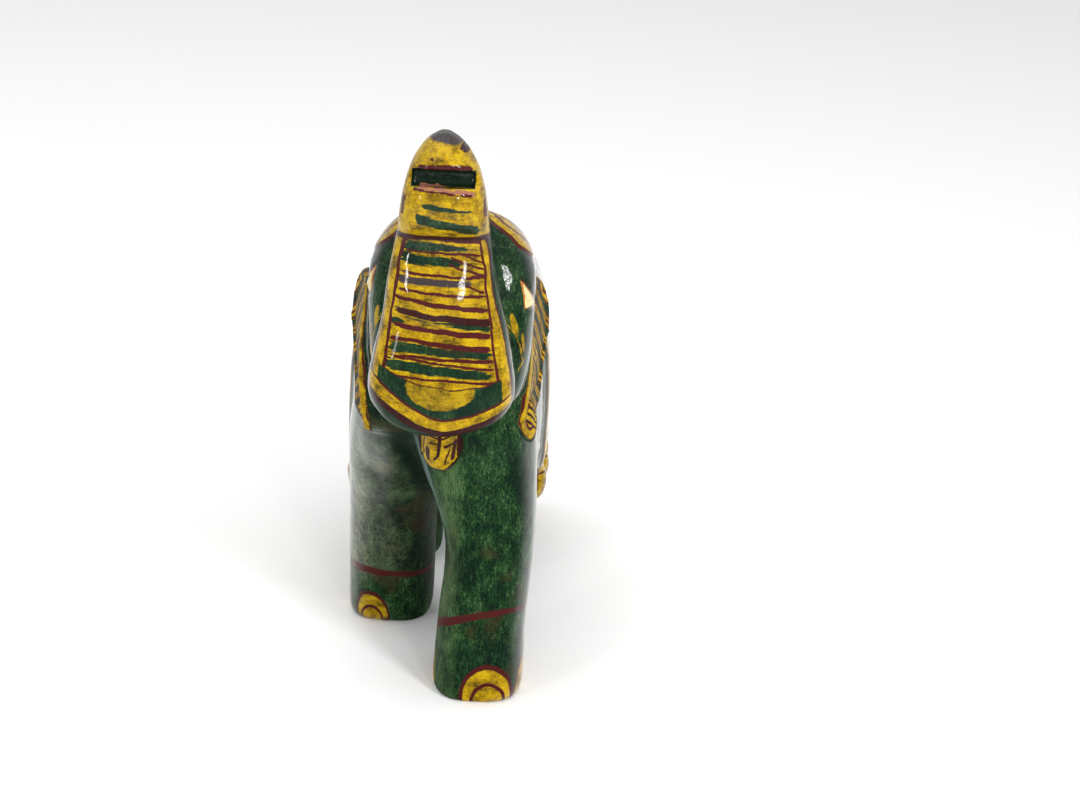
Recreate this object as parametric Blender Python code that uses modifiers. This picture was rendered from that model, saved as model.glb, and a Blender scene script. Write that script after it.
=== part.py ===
# Carved stone elephant that walks with its trunk raised, in one piece.
#
# The elephant faces -Y and stands on z = 0, with its left side at +X.
# Every mass of the figure is lofted through a few stations. The masses are fused with a voxel
# remesh, which leaves the soft inner corners of ground stone, and then the soles and the slot in
# the trunk's tip are cut crisp. Sizes are in millimetres until the mesh is written in metres.

from math import cos, pi, radians, sin, tan

import bmesh
import bpy
from mathutils import Matrix, Vector

MM = 0.001

# Body
BODY_LENGTH = 65.5  # shoulders to rump
BODY_WIDTH = 26.0
WAIST_HEIGHT = 0.37  # height of the broadest line of the barrel, as a share of its section
BACK_HEIGHT = 55.6
BELLY_HEIGHT = 17.6
SHOULDER_Y = -23.5
NECK_DROP = 12.6  # how far the neck's underside falls below the chin
NECK_WAIST = 7.4  # height of the neck's broadest line over the chin, behind the cheeks

# Head
HEAD_WIDTH = 20.2
HEAD_DEPTH = 17.5
CROWN_HEIGHT = 63.2
CHIN_HEIGHT = 38.6
FACE_Y = -31.0  # foremost line of the cheeks
HEAD_X = 0.5
HEAD_TAPER = 0.09  # share of its width that the head loses from the eyes to its back
CROWN_PARTING = 0.8  # depth of the dip between the two domes of the crown

# Trunk, from the bend under the face up to its tip
TRUNK_TOP = 75.8
TRUNK_BEND_HEIGHT = 40.2
TRUNK_BEND_WIDTH = 17.2
TRUNK_TIP_WIDTH = 9.9
TRUNK_THICKNESS = 7.6  # front to back where it stands free of the forehead
TRUNK_FRONT_Y = -39.6
TRUNK_X = -0.4  # the trunk is carved a little off the middle
TIP_EDGE_HEIGHT = 64.4  # where the tip juts forward over the stem
TIP_JUT = 3.0
TIP_TWIST = 0.2  # how far the trunk's point leans to the right

# Slot in the trunk's tip
SLOT_X = -0.45
SLOT_WIDTH = 7.1
SLOT_HEIGHT = 1.9
SLOT_DEPTH = 3.6
SLOT_Z = 71.5  # height of the middle of its mouth
SLOT_SLOPE = 8.0  # degrees by which the slot falls from its mouth to its bottom

# Lower lip
LIP_X = 0.1
LIP_WIDTH = 5.4
LIP_TOP = 41.0
LIP_TIP = 32.4
LIP_FRONT_Y = -32.8
LIP_POWER = 2.4

# Ears
EAR_HEIGHT = 19.8
EAR_DEPTH = 16.0
EAR_FRONT_Y = -25.0
EAR_TIP_HEIGHT = 34.8
EAR_FRONT_X = 10.6
EAR_FLARE = 8.5  # degrees by which the ear opens away from the neck
EAR_CURL = 1.1  # how far its top and its tip lean back to the neck
EAR_DISH = 0.5  # depth of the hollow inside the border
EAR_BORDER = 0.14  # border's width as a share of the ear's radius
EAR_ROUNDING = 1.0  # height over which the ear's rim is rounded
EAR_ROOT_X = 5.0  # the slab of the ear starts inside the neck

# Legs
LEG_WIDTH = 11.8
LEG_DEPTH = 14.0
FRONT_STRIDE = 21.8  # from one front foot to the other
REAR_STRIDE = 12.0
LEFT_FRONT_X = 5.6
LEFT_FRONT_Y = -20.4
RIGHT_FRONT_X = -7.3
LEFT_REAR_X = 6.9
LEFT_REAR_Y = 34.2
RIGHT_REAR_X = -6.9
FOOT_ROUNDING = 0.7
SOLE_EDGE = 1.0  # height over which the foot's edge is rounded
SOLE_POWER = 2.9
LEG_POWER = 2.7

# Saddle cloth, raised on the body
CLOTH_RELIEF = 0.6
CLOTH_FRONT_Y = -4.5
CLOTH_BACK_Y = 31.0
CLOTH_HEM_HEIGHT = 23.8
PENDANT_COUNT = 6
PENDANT_WIDTH = 4.6
PENDANT_LENGTH = 6.6
PENDANT_RELIEF = 1.9
PENDANT_HANG = 0.42  # depth of a pendant's middle under the hem, as a share of its length

# Tail
TAIL_TOP = 42.4
TAIL_LENGTH = 21.4
TAIL_RADIUS = 1.6
TAIL_SWING = 2.8
TUFT_WIDTH = 5.0
TUFT_LENGTH = 9.0

# Squareness of the barrel's and the neck's section: 2 is an ellipse
BACK_POWER = 2.35
BELLY_POWER = 4.2

# Mesh
RING_POINTS = 48
STATION_STEPS = 4
CLOTH_ROWS = 16
VOXEL = 0.45
SMOOTH_PASSES = 3
FACE_TARGET = 8600
CUT_MARGIN = 6.0  # how far a cutter runs past what it cuts


def start_empty_scene():
    for thing in list(bpy.data.objects):
        bpy.data.objects.remove(thing, do_unlink=True)


def new_collection(name):
    collection = bpy.data.collections.new(name)
    bpy.context.scene.collection.children.link(collection)
    return collection


def spline_value(before, start, end, after, t):
    """Catmull-Rom value between start and end."""
    return 0.5 * (
        2 * start
        + (end - before) * t
        + (2 * before - 5 * start + 4 * end - after) * t * t
        + (3 * start - before - 3 * end + after) * t * t * t
    )


def smooth_stations(stations):
    """Adds rows between stations, with each value on a smooth curve through the given rows."""
    rows = []
    last = len(stations) - 1
    for i in range(last):
        window = (stations[max(i - 1, 0)], stations[i], stations[i + 1], stations[min(i + 2, last)])
        for step in range(STATION_STEPS):
            t = step / STATION_STEPS
            rows.append(tuple(spline_value(*values, t) for values in zip(*window)))
    rows.append(tuple(stations[-1]))
    return rows


def closed_outline(corners):
    """RING_POINTS points on a smooth closed curve through the corners."""
    count = len(corners)
    points = []
    for i in range(RING_POINTS):
        place = count * i / RING_POINTS
        k = int(place)
        window = [corners[(k + step) % count] for step in (-1, 0, 1, 2)]
        points.append(tuple(spline_value(*values, place - k) for values in zip(*window)))
    return points


def superellipse(angle, half_a, half_b, power):
    """Point of a rounded outline: power 2 is an ellipse, and more is squarer."""
    c, s = cos(angle), sin(angle)
    a = half_a * abs(c) ** (2 / power) * (1 if c >= 0 else -1)
    b = half_b * abs(s) ** (2 / power) * (1 if s >= 0 else -1)
    return a, b


def superellipse_ring(centre, axis_a, axis_b, half_a, half_b, power):
    ring = []
    for i in range(RING_POINTS):
        a, b = superellipse(2 * pi * i / RING_POINTS, half_a, half_b, power)
        ring.append(centre + axis_a * a + axis_b * b)
    return ring


def loft(bm, rings):
    """Closed skin through rings of RING_POINTS points each, with flat ends."""
    loops = []
    for ring in rings:
        circle = bmesh.ops.create_circle(bm, segments=RING_POINTS, radius=1.0)["verts"]
        for vert, place in zip(circle, ring):
            vert.co = place
        loops.append(circle)
    edge_loops = [list({edge for vert in circle for edge in vert.link_edges}) for circle in loops]
    for lower, upper in zip(edge_loops, edge_loops[1:]):
        bmesh.ops.bridge_loops(bm, edges=lower + upper)
    for end in (loops[0], loops[-1]):
        bmesh.ops.contextual_create(bm, geom=end)


def loft_upright(bm, stations):
    """Loft through level rings. A station is z, middle x, half width, front y, back y, power."""
    rings = []
    for z, x, half_width, front, back, power in smooth_stations(stations):
        centre = Vector((x, (front + back) / 2, z))
        rings.append(
            superellipse_ring(
                centre, Vector((1, 0, 0)), Vector((0, 1, 0)), half_width, (back - front) / 2, power
            )
        )
    loft(bm, rings)


def loft_lengthwise(bm, stations):
    """Loft through rings across the body. A station is y, half width, bottom z, top z, waist z."""
    rings = []
    for y, half_width, low, high, waist in stations:
        ring = []
        for i in range(RING_POINTS):
            reach, power = (high - waist, BACK_POWER)
            if i > RING_POINTS / 2:
                reach, power = (waist - low, BELLY_POWER)
            x, z = superellipse(2 * pi * i / RING_POINTS, half_width, reach, power)
            ring.append(Vector((x, y, waist + z)))
        rings.append(ring)
    loft(bm, rings)


def torso_stations():
    """Barrel of the body: shares of its length, half width and height, from shoulders to rump."""
    shares = (
        (0.00, 0.34, 0.52, 0.64),
        (0.02, 0.58, 0.44, 0.75),
        (0.07, 0.80, 0.32, 0.87),
        (0.18, 0.93, 0.13, 0.965),
        (0.34, 1.00, 0.00, 1.00),
        (0.52, 1.01, -0.01, 0.98),
        (0.68, 1.01, 0.00, 0.92),
        (0.82, 0.98, 0.03, 0.83),
        (0.93, 0.85, 0.10, 0.71),
        (0.98, 0.62, 0.20, 0.60),
        (1.00, 0.34, 0.30, 0.50),
    )
    rise = BACK_HEIGHT - BELLY_HEIGHT
    return smooth_stations(
        [
            (
                SHOULDER_Y + BODY_LENGTH * along,
                BODY_WIDTH / 2 * width,
                BELLY_HEIGHT + rise * low,
                BELLY_HEIGHT + rise * high,
                BELLY_HEIGHT + rise * (low + (high - low) * WAIST_HEIGHT),
            )
            for along, width, low, high in shares
        ]
    )


def torso_section(y):
    """Half width, bottom, top and waist height of the barrel at y."""
    rows = torso_stations()
    for near, far in zip(rows, rows[1:]):
        if near[0] <= y <= far[0]:
            t = (y - near[0]) / (far[0] - near[0])
            return tuple(a + (b - a) * t for a, b in zip(near[1:], far[1:]))
    return rows[0][1:] if y < rows[0][0] else rows[-1][1:]


def flank_x(y, z):
    """Half width of the barrel at a height below its waist."""
    half_width, low, high, waist = torso_section(y)
    share = min(max(waist - z, 0) / (waist - low), 0.98)
    return half_width * (1 - share**BELLY_POWER) ** (1 / BELLY_POWER)


def add_torso(bm):
    loft_lengthwise(bm, torso_stations())


def add_neck(bm):
    """Joins the back of the head to the shoulders, with a dip behind the crown."""
    # shares of the head's depth and half width, of the drop under the chin, of the crown's
    # height over the back, and of the waist's height over the chin
    shares = (
        (0.30, 0.60, 0.05, 0.21, 1.00),
        (0.65, 0.92, 0.45, 0.42, 0.86),
        (1.05, 1.00, 0.68, 0.10, 0.60),
        (1.50, 1.00, 0.84, -0.18, 0.32),
        (1.90, 0.80, 1.00, -0.40, 0.19),
    )
    nape = CROWN_HEIGHT - BACK_HEIGHT
    loft_lengthwise(
        bm,
        smooth_stations(
            [
                (
                    FACE_Y + HEAD_DEPTH * back,
                    HEAD_WIDTH / 2 * width,
                    CHIN_HEIGHT - NECK_DROP * drop,
                    BACK_HEIGHT + nape * over_back,
                    CHIN_HEIGHT + NECK_WAIST * waist,
                )
                for back, width, drop, over_back, waist in shares
            ]
        ),
    )


def add_head(bm):
    """Shield-shaped head: broad at the eyes, narrow at the chin, with a rounded, parted crown."""
    shares = (
        (0.00, 0.36, 0.10, 0.60, 2.2),
        (0.05, 0.62, 0.02, 0.72, 2.6),
        (0.15, 0.86, -0.02, 0.84, 3.2),
        (0.30, 0.96, 0.01, 0.94, 3.6),
        (0.50, 1.00, 0.06, 1.00, 3.8),
        (0.66, 1.02, 0.12, 1.00, 3.6),
        (0.76, 1.01, 0.17, 0.98, 3.2),
        (0.87, 0.89, 0.24, 0.92, 2.8),
        (0.95, 0.69, 0.33, 0.84, 2.5),
        (1.00, 0.38, 0.42, 0.74, 2.2),
    )
    rise = CROWN_HEIGHT - CHIN_HEIGHT
    head = bmesh.new()
    loft_upright(
        head,
        [
            (
                CHIN_HEIGHT + rise * up,
                HEAD_X,
                HEAD_WIDTH / 2 * width,
                FACE_Y + HEAD_DEPTH * front,
                FACE_Y + HEAD_DEPTH * back,
                power,
            )
            for up, width, front, back, power in shares
        ],
    )
    parting_half, parting_drop = 0.35 * HEAD_WIDTH / 2, 0.25 * rise
    for vert in head.verts:
        across = vert.co.x - HEAD_X
        press = max(0.0, 1 - (across / parting_half) ** 2)
        near_top = min(max((vert.co.z - CROWN_HEIGHT) / parting_drop + 1, 0.0), 1.0)
        vert.co.z -= CROWN_PARTING * press * near_top
        behind_eyes = min(max((vert.co.y - FACE_Y) / HEAD_DEPTH - 0.3, 0.0) / 0.7, 1.0)
        vert.co.x = HEAD_X + across * (1 - HEAD_TAPER * behind_eyes)
    append_mesh(bm, head)


def add_trunk(bm):
    """Stem that rises from the bend in front of the face, and the tip that juts over it."""
    bend = TRUNK_BEND_WIDTH / 2
    tip = TRUNK_TIP_WIDTH / 2
    stem_front = TRUNK_FRONT_Y + TIP_JUT
    stem_back = stem_front + TRUNK_THICKNESS
    rise = TIP_EDGE_HEIGHT - TRUNK_BEND_HEIGHT
    crest = TRUNK_TOP - TIP_EDGE_HEIGHT
    # share of the stem's rise, half width, share of the tip's jut, squareness
    stem_shares = (
        (0.00, 0.40 * bend, 0.87, 2.2),
        (0.04, 0.66 * bend, 0.40, 2.4),
        (0.11, 0.87 * bend, 0.10, 2.8),
        (0.22, 1.00 * bend, 0.00, 3.2),
        (0.38, 0.95 * bend, 0.20, 3.2),
        (0.58, 0.83 * bend, 0.57, 3.2),
        (0.80, 0.71 * bend, 0.90, 3.2),
        (0.97, 0.63 * bend, 1.00, 3.2),
    )
    # share of the tip's rise, half width, shares of the thickness that its front and its back
    # stand off the stem's, squareness
    tip_shares = (
        (0.12, 1.04 * tip, 0.08, 0.00, 3.2),
        (0.26, 1.00 * tip, 0.00, -0.04, 3.0),
        (0.48, 0.91 * tip, 0.01, -0.08, 2.8),
        (0.68, 0.77 * tip, 0.12, -0.13, 2.4),
        (0.84, 0.57 * tip, 0.26, -0.21, 2.1),
        (0.94, 0.36 * tip, 0.42, -0.32, 2.0),
        (1.00, 0.12 * tip, 0.58, -0.45, 2.0),
    )
    stations = [
        (
            TRUNK_BEND_HEIGHT + rise * up,
            TRUNK_X,
            half,
            TRUNK_FRONT_Y + set_back * TIP_JUT,
            stem_back,
            power,
        )
        for up, half, set_back, power in stem_shares
    ]
    stations += [
        (
            TIP_EDGE_HEIGHT + crest * up,
            TRUNK_X - TIP_TWIST * up**2,
            half,
            TRUNK_FRONT_Y + set_back * TRUNK_THICKNESS,
            stem_back + lean * TRUNK_THICKNESS,
            power,
        )
        for up, half, set_back, lean, power in tip_shares
    ]
    loft_upright(bm, stations)


def add_lower_lip(bm):
    """Small rounded lip that hangs from under the bend of the trunk onto the chest."""
    half = LIP_WIDTH / 2
    drop = LIP_TOP - LIP_TIP
    inside_chest = LEFT_FRONT_Y
    # shares of its drop, half width, and width by which its front slopes back
    shares = (
        (0.00, 0.44, 0.80),
        (0.10, 0.76, 0.56),
        (0.32, 0.95, 0.31),
        (0.65, 1.00, 0.13),
        (1.00, 1.00, 0.00),
    )
    loft_upright(
        bm,
        [
            (
                LIP_TIP + drop * up,
                LIP_X,
                half * width,
                LIP_FRONT_Y + LIP_WIDTH * back,
                inside_chest,
                LIP_POWER,
            )
            for up, width, back in shares
        ],
    )


def ear_outline():
    """Ear seen from the side, as y and z: a broad upper lobe, a notch, and a pointed lower lobe."""
    corners = (
        (0.03, 0.78),
        (0.20, 0.96),
        (0.50, 1.00),
        (0.80, 0.90),
        (0.97, 0.70),
        (0.99, 0.50),
        (0.87, 0.37),
        (0.90, 0.25),
        (0.82, 0.12),
        (0.50, 0.05),
        (0.15, 0.00),
        (0.02, 0.20),
        (0.00, 0.50),
    )
    return [
        (EAR_FRONT_Y + EAR_DEPTH * y, EAR_TIP_HEIGHT + EAR_HEIGHT * z)
        for y, z in closed_outline(corners)
    ]


def ear_x(y, z):
    """Outer face of the left ear: it opens backwards and curls in at its top and its tip."""
    middle = EAR_TIP_HEIGHT + EAR_HEIGHT / 2
    curl = EAR_CURL * ((z - middle) / (EAR_HEIGHT / 2)) ** 2
    return EAR_FRONT_X + (y - EAR_FRONT_Y) * tan(radians(EAR_FLARE)) - curl


def add_ear(bm, side):
    """Slab from inside the neck to the ear's face, with a rounded border and a shallow hollow."""
    centre_y = EAR_FRONT_Y + 0.48 * EAR_DEPTH
    centre_z = EAR_TIP_HEIGHT + 0.52 * EAR_HEIGHT
    # share of the outline's size, and depth below the ear's face
    profile = (
        (1.00, None),
        (1.00, EAR_ROUNDING),
        (0.985, 0.3 * EAR_ROUNDING),
        (0.95, 0.0),
        (1.00 - EAR_BORDER + 0.03, 0.0),
        (1.00 - EAR_BORDER - 0.04, EAR_DISH),
        (0.40, EAR_DISH),
        (0.05, EAR_DISH),
    )
    rings = []
    for size, depth in profile:
        ring = []
        for y, z in ear_outline():
            y = centre_y + (y - centre_y) * size
            z = centre_z + (z - centre_z) * size
            x = EAR_ROOT_X if depth is None else ear_x(y, z) - depth
            ring.append(Vector((side * x, y, z)))
        rings.append(ring)
    loft(bm, rings)


def add_leg(bm, foot_x, foot_y, shares):
    """Leg from its sole up into the body.

    The sole's centre is at foot_x and foot_y. Each row of shares is the height as a share of the
    back's height, then the shift and half width as shares of half the leg's width, and the front
    and back as shares of half its depth.
    """
    half, depth = LEG_WIDTH / 2, LEG_DEPTH / 2
    rows = [
        (z, foot_x, half - inset, foot_y - depth + inset, foot_y + depth - inset, SOLE_POWER)
        for z, inset in ((-CUT_MARGIN / 2, FOOT_ROUNDING), (0.0, FOOT_ROUNDING), (SOLE_EDGE, 0.0))
    ]
    rows += [
        (
            BACK_HEIGHT * up,
            foot_x + half * shift,
            half * width,
            foot_y + depth * front,
            foot_y + depth * back,
            LEG_POWER,
        )
        for up, shift, width, front, back in shares
    ]
    loft_upright(bm, rows)


def add_legs(bm):
    """Walking pose: the left front leg and the right rear leg stand ahead of their partners."""
    left_front = (
        (0.16, 0.03, 0.965, -0.985, 0.97),
        (0.34, 0.135, 0.965, -0.985, 1.14),
        (0.45, 0.035, 1.085, -0.96, 1.43),
        (0.56, -0.22, 1.29, -0.885, 1.77),
        (0.68, -0.405, 1.39, -0.77, 1.86),
        (0.755, -0.475, 1.135, -0.485, 1.43),
    )
    right_front = (
        (0.18, 0.0, 1.015, -1.27, 0.94),
        (0.34, 0.035, 1.015, -1.77, 0.71),
        (0.50, 0.07, 1.035, -2.51, 0.46),
        (0.65, 0.15, 0.965, -3.14, 0.17),
        (0.755, 0.34, 0.76, -3.2, -0.29),
    )
    left_rear = (
        (0.18, 0.0, 0.985, -0.97, 0.915),
        (0.36, 0.0, 1.035, -1.285, 0.97),
        (0.54, -0.07, 1.085, -1.93, 0.885),
        (0.72, -0.27, 0.9, -2.0, 0.4),
    )
    right_rear = (
        (0.18, 0.0, 0.985, -0.915, 1.085),
        (0.36, 0.0, 1.035, -0.857, 1.715),
        (0.54, 0.07, 1.085, -0.43, 2.485),
        (0.72, 0.27, 0.9, -0.286, 2.0),
    )
    add_leg(bm, LEFT_FRONT_X, LEFT_FRONT_Y, left_front)
    add_leg(bm, RIGHT_FRONT_X, LEFT_FRONT_Y + FRONT_STRIDE, right_front)
    add_leg(bm, LEFT_REAR_X, LEFT_REAR_Y, left_rear)
    add_leg(bm, RIGHT_REAR_X, LEFT_REAR_Y - REAR_STRIDE, right_rear)


def add_cloth(bm):
    """Saddle cloth: the barrel's skin moved outwards between two ends and above the hem."""
    rows = []
    for i in range(CLOTH_ROWS + 1):
        y = CLOTH_FRONT_Y + (CLOTH_BACK_Y - CLOTH_FRONT_Y) * i / CLOTH_ROWS
        half_width, low, high, waist = torso_section(y)
        rows.append((y, half_width + CLOTH_RELIEF, low, high + CLOTH_RELIEF, waist))
    shell = bmesh.new()
    loft_lengthwise(shell, rows)
    bmesh.ops.bisect_plane(
        shell,
        geom=shell.verts[:] + shell.edges[:] + shell.faces[:],
        plane_co=(0, 0, CLOTH_HEM_HEIGHT),
        plane_no=(0, 0, -1),
        clear_outer=True,
    )
    bmesh.ops.holes_fill(shell, edges=[e for e in shell.edges if e.is_boundary])
    append_mesh(bm, shell)


def append_mesh(bm, piece):
    """Adds the geometry of one bmesh to another."""
    mesh = bpy.data.meshes.new("piece")
    piece.to_mesh(mesh)
    piece.free()
    bm.from_mesh(mesh)
    bpy.data.meshes.remove(mesh)


def add_pendants(bm):
    """Drop-shaped ornaments that hang from the hem on both flanks."""
    run = CLOTH_BACK_Y - CLOTH_FRONT_Y
    z = CLOTH_HEM_HEIGHT - PENDANT_LENGTH * PENDANT_HANG
    for i in range(PENDANT_COUNT):
        y = CLOTH_FRONT_Y + run * (i + 0.5) / PENDANT_COUNT
        x = flank_x(y, z)
        for side in (-1, 1):
            drop = bmesh.new()
            bmesh.ops.create_uvsphere(drop, u_segments=24, v_segments=16, radius=1.0)
            for vert in drop.verts:
                vert.co.y *= 1 - 0.5 * max(vert.co.z, 0)
            place = Matrix.Translation((side * x, y, z)) @ Matrix.Diagonal(
                (PENDANT_RELIEF, PENDANT_WIDTH / 2, PENDANT_LENGTH / 2, 1)
            )
            drop.transform(place)
            append_mesh(bm, drop)


def add_tail(bm):
    """Tail down the rump with a tuft, swung to the left."""
    rump = SHOULDER_Y + BODY_LENGTH
    tuft_top = TAIL_TOP - TAIL_LENGTH
    # share of the swing to the left, share of its length behind the rump's end, height, radius
    path = (
        (0.00, -0.33, TAIL_TOP - 0.02 * TAIL_LENGTH, TAIL_RADIUS),
        (0.04, -0.14, TAIL_TOP, TAIL_RADIUS),
        (0.10, -0.02, TAIL_TOP - 0.16 * TAIL_LENGTH, TAIL_RADIUS),
        (0.21, 0.02, TAIL_TOP - 0.44 * TAIL_LENGTH, 0.92 * TAIL_RADIUS),
        (0.46, -0.01, TAIL_TOP - 0.77 * TAIL_LENGTH, 0.85 * TAIL_RADIUS),
        (0.71, -0.06, tuft_top, 0.40 * TUFT_WIDTH),
        (0.89, -0.07, tuft_top - 0.45 * TUFT_LENGTH, 0.50 * TUFT_WIDTH),
        (1.00, -0.08, tuft_top - TUFT_LENGTH, 0.10 * TUFT_WIDTH),
    )
    rows = smooth_stations(path)
    centres = [
        Vector((TAIL_SWING * swing, rump + TAIL_LENGTH * behind, z)) for swing, behind, z, _ in rows
    ]
    rings = []
    for i, (centre, row) in enumerate(zip(centres, rows)):
        along = centres[min(i + 1, len(rows) - 1)] - centres[max(i - 1, 0)]
        across = Vector((1, 0, 0))
        out = along.cross(across).normalized()
        rings.append(superellipse_ring(centre, across, out, row[3], row[3], 2.0))
    loft(bm, rings)


def fused_mesh():
    """Every mass of the figure in one mesh, fused, softened and thinned to FACE_TARGET triangles."""
    bm = bmesh.new()
    add_head(bm)
    add_neck(bm)
    add_torso(bm)
    add_trunk(bm)
    add_lower_lip(bm)
    for side in (-1, 1):
        add_ear(bm, side)
    add_legs(bm)
    add_cloth(bm)
    add_pendants(bm)
    add_tail(bm)
    bmesh.ops.scale(bm, vec=(MM, MM, MM), verts=bm.verts)
    bmesh.ops.recalc_face_normals(bm, faces=bm.faces)
    mesh = bpy.data.meshes.new("masses")
    bm.to_mesh(mesh)
    bm.free()

    figure = bpy.data.objects.new("masses", mesh)
    bpy.context.scene.collection.objects.link(figure)
    fuse = figure.modifiers.new("fuse", "REMESH")
    fuse.mode = "VOXEL"
    fuse.voxel_size = VOXEL * MM
    soften = figure.modifiers.new("soften", "SMOOTH")
    soften.factor = 0.5
    soften.iterations = SMOOTH_PASSES
    dense_faces = len(evaluated_mesh(figure).polygons)
    thin = figure.modifiers.new("thin", "DECIMATE")
    thin.ratio = min(1.0, FACE_TARGET / (2 * dense_faces))
    thinned = evaluated_mesh(figure)
    bpy.data.objects.remove(figure)
    return thinned


def base_centre(mesh):
    """Middle of the figure's length and width, on the ground."""
    xs = [vert.co.x for vert in mesh.vertices]
    ys = [vert.co.y for vert in mesh.vertices]
    return Vector(((min(xs) + max(xs)) / 2, (min(ys) + max(ys)) / 2, 0))


def evaluated_mesh(thing):
    depsgraph = bpy.context.evaluated_depsgraph_get()
    return bpy.data.meshes.new_from_object(thing.evaluated_get(depsgraph))


def box_cutter(name, size, centre, tilt, origin, collection):
    """Box that cuts the figure, turned about X by tilt degrees. The figure's origin is taken off."""
    bpy.ops.mesh.primitive_cube_add(size=1.0)
    cutter = bpy.context.object
    cutter.name = name
    cutter.data.transform(Matrix.Diagonal((size[0] * MM, size[1] * MM, size[2] * MM, 1)))
    cutter.rotation_euler = (radians(tilt), 0, 0)
    cutter.location = Vector(centre) * MM - origin
    cutter.hide_render = True
    cutter.display_type = "WIRE"
    for owner in list(cutter.users_collection):
        owner.objects.unlink(cutter)
    collection.objects.link(cutter)
    return cutter


def cut(figure, cutter):
    boolean = figure.modifiers.new(cutter.name, "BOOLEAN")
    boolean.operation = "DIFFERENCE"
    boolean.object = cutter


def stone_material():
    material = bpy.data.materials.new("green_stone")
    material.use_nodes = True
    shader = material.node_tree.nodes["Principled BSDF"]
    shader.inputs["Base Color"].default_value = (0.035, 0.085, 0.05, 1)
    shader.inputs["Roughness"].default_value = 0.25
    shader.inputs["Metallic"].default_value = 0.0
    return material


def main():
    start_empty_scene()
    parts = new_collection("elephant_carving")
    cutters = new_collection("cutters")

    mesh = fused_mesh()
    origin = base_centre(mesh)
    mesh.transform(Matrix.Translation(-origin))
    figure = bpy.data.objects.new("elephant", mesh)
    parts.objects.link(figure)
    mesh.materials.clear()
    mesh.materials.append(stone_material())
    mesh.shade_smooth()

    ground = box_cutter(
        "ground_cutter",
        (4 * BODY_WIDTH, 2 * BODY_LENGTH, 2 * CUT_MARGIN),
        (0, 0, -CUT_MARGIN),
        0,
        origin,
        cutters,
    )
    slot_reach = SLOT_DEPTH + CUT_MARGIN
    ahead = slot_reach / 2 - SLOT_DEPTH  # the cutter's middle lies in front of the slot's mouth
    fall = radians(SLOT_SLOPE)
    slot = box_cutter(
        "slot_cutter",
        (SLOT_WIDTH, slot_reach, SLOT_HEIGHT),
        (SLOT_X, TRUNK_FRONT_Y - ahead * cos(fall), SLOT_Z + ahead * sin(fall)),
        -SLOT_SLOPE,
        origin,
        cutters,
    )
    cut(figure, ground)
    cut(figure, slot)


main()
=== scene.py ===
from math import radians, tan

import bmesh
import bpy
import numpy as np
from mathutils import Matrix, Vector, noise


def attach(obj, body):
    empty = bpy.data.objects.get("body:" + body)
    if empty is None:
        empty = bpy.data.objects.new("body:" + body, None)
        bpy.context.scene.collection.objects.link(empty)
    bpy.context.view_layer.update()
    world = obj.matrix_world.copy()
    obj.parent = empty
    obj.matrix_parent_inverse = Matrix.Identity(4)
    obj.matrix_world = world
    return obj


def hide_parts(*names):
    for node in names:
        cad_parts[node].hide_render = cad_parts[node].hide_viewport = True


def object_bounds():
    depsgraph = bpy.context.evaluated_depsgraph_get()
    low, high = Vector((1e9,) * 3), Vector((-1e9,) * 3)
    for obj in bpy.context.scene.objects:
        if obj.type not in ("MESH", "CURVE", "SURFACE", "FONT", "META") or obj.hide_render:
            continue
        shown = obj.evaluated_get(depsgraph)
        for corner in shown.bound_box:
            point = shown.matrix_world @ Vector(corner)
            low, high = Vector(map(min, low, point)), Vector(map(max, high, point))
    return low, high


# A carved green stone elephant, hand-painted in yellow and maroon and lacquered.
# Sizes are in millimetres in the frame's own axes: the elephant faces -Y, its left side is +X.

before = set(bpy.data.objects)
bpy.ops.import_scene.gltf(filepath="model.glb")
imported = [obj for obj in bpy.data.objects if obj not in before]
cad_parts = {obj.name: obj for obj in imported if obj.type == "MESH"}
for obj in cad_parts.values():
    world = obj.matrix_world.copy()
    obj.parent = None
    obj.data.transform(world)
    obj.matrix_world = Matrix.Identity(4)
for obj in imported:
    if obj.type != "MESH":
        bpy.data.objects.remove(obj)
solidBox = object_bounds()
mm = 0.001
bpy.context.scene.view_settings.view_transform = "Standard"


# Shader maths: a Wave wraps one socket of a material, so that expressions add Math nodes

class Wave:
    def __init__(self, paint, socket):
        self.paint = paint
        self.socket = socket

    def math(self, operation, *others):
        return self.paint.add("Math", {"operation": operation}, [self, *others])

    def __add__(self, other):
        return self.math("ADD", other)

    __radd__ = __add__

    def __sub__(self, other):
        return self.math("SUBTRACT", other)

    def __rsub__(self, other):
        return self.paint.add("Math", {"operation": "SUBTRACT"}, [other, self])

    def __mul__(self, other):
        return self.math("MULTIPLY", other)

    __rmul__ = __mul__

    def __truediv__(self, other):
        return self.math("DIVIDE", other)

    def __neg__(self):
        return self.math("MULTIPLY", -1.0)

    def __abs__(self):
        return self.math("ABSOLUTE")


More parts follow.
